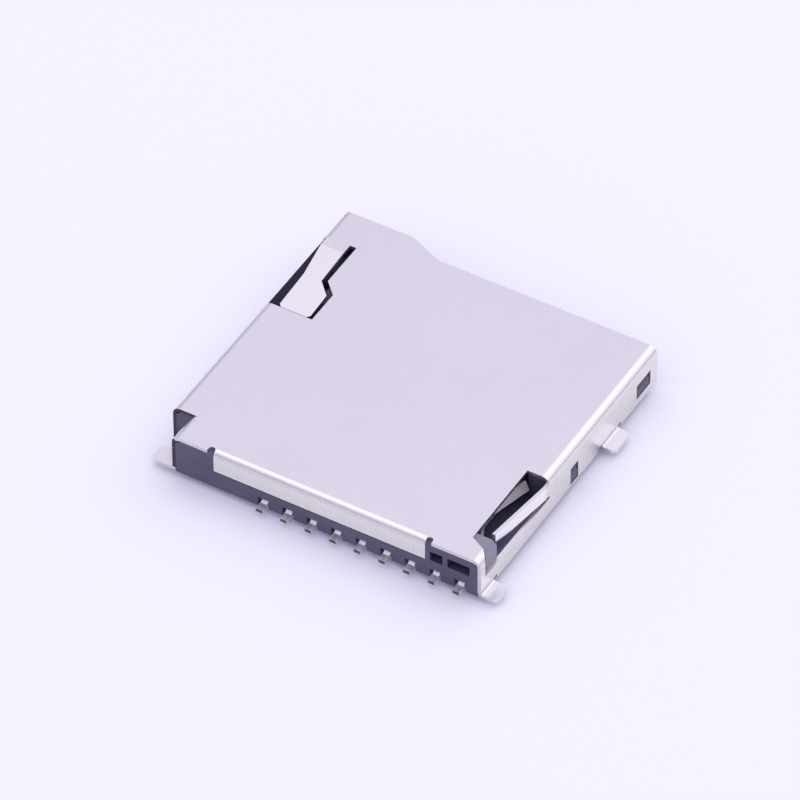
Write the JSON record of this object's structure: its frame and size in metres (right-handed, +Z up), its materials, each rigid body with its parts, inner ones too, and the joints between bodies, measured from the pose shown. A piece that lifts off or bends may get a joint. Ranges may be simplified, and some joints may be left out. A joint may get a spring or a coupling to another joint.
{
  "type": "micro sd card socket",
  "caption": "Low surface-mount card socket with a folded metal cover, a row of solder tails, solder feet and a push-in, push-out eject slider.",
  "frame": {"origin": "middle of the cover's outline, on the plane of the board", "axes": "+X along the row of solder tails, +Y out of the card mouth, +Z up from the board"},
  "size_m": [0.0159, 0.0147, 0.0022],
  "materials": {
    "housing_plastic": "moulded, faint sheen",
    "cover_steel": "plated, satin top with bright bends",
    "contact_metal": "tin plated, bright",
    "slider_plastic": "moulded, smooth",
    "spring_steel": "drawn wire, bright"
  },
  "bodies": {
    "socket": {"housing": "housing_plastic", "cover": "cover_steel", "contact_1": "contact_metal", "contact_2": "contact_metal", "contact_3": "contact_metal", "contact_4": "contact_metal", "contact_5": "contact_metal", "contact_6": "contact_metal", "contact_7": "contact_metal", "contact_8": "contact_metal", "detect_contact": "contact_metal", "eject_spring": "spring_steel"},
    "slider": {"slider": "slider_plastic", "card_lock": "spring_steel"},
    "cam_pin": {"cam_pin": "spring_steel"}
  },
  "joints": [
    {"name": "slider_slide", "type": "slide", "parent": "socket", "child": "slider", "axis": [0, -1, 0], "range_m": [0, 0.0021], "stiffness_N_per_m": 300, "springref_m": -0.002, "deforming": ["eject_spring"]},
    {"name": "cam_pin_swing", "type": "hinge", "parent": "socket", "child": "cam_pin", "pos_m": [-0.00636, 0.00539, 0.00138], "axis": [0, 0, 1], "range_deg": [0, 7]}
  ],
  "couplings": [
    {"joint": "cam_pin_swing", "follows": "slider_slide", "rad_per_m": 58.17}
  ]
}
